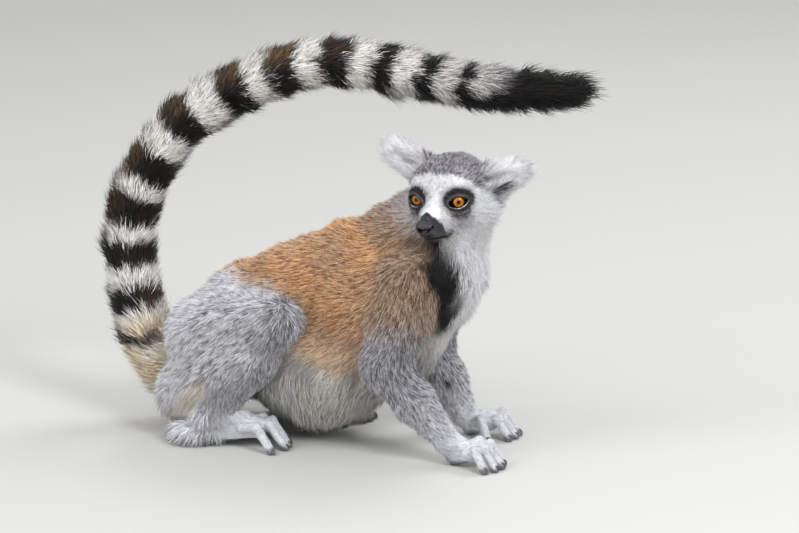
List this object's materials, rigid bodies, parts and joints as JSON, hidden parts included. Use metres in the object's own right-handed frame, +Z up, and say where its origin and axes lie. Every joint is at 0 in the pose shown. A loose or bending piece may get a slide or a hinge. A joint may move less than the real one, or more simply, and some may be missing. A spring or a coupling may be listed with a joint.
{
  "type": "ring-tailed lemur model",
  "caption": "Life-size still model of a ring-tailed lemur crouched on all fours, looking back over its right shoulder with its banded tail arched over its body.",
  "frame": {"origin": "on the floor under the middle of the bounding box", "axes": "+X from rump to chest along the spine, +Y to the animal's left, +Z up"},
  "size_m": [0.4766, 0.2026, 0.368],
  "materials": {
    "skin": "matte skin under the coat, dark and slightly moist on the nose, lids, soles and finger pads",
    "fur": "soft dense fur in tufts: tan-brown back, grey limbs and crown, white face, ears and underside, black and white tail bands",
    "eye": "wet glossy eye with an orange iris and a small black pupil",
    "nail": "smooth dark nail"
  },
  "bodies": {
    "root": {"eye_right": "eye", "eye_left": "eye", "head": "skin", "trunk": "skin", "neck": "skin", "ear_right": "skin", "ear_left": "skin", "upper_arm_right": "skin", "forearm_right": "skin", "hand_right": "skin", "upper_arm_left": "skin", "forearm_left": "skin", "hand_left": "skin", "thigh_right": "skin", "shin_right": "skin", "foot_right": "skin", "thigh_left": "skin", "shin_left": "skin", "foot_left": "skin", "tail_1": "skin", "tail_2": "skin", "tail_3": "skin", "tail_4": "skin", "tail_5": "skin"}
  },
  "joints": []
}
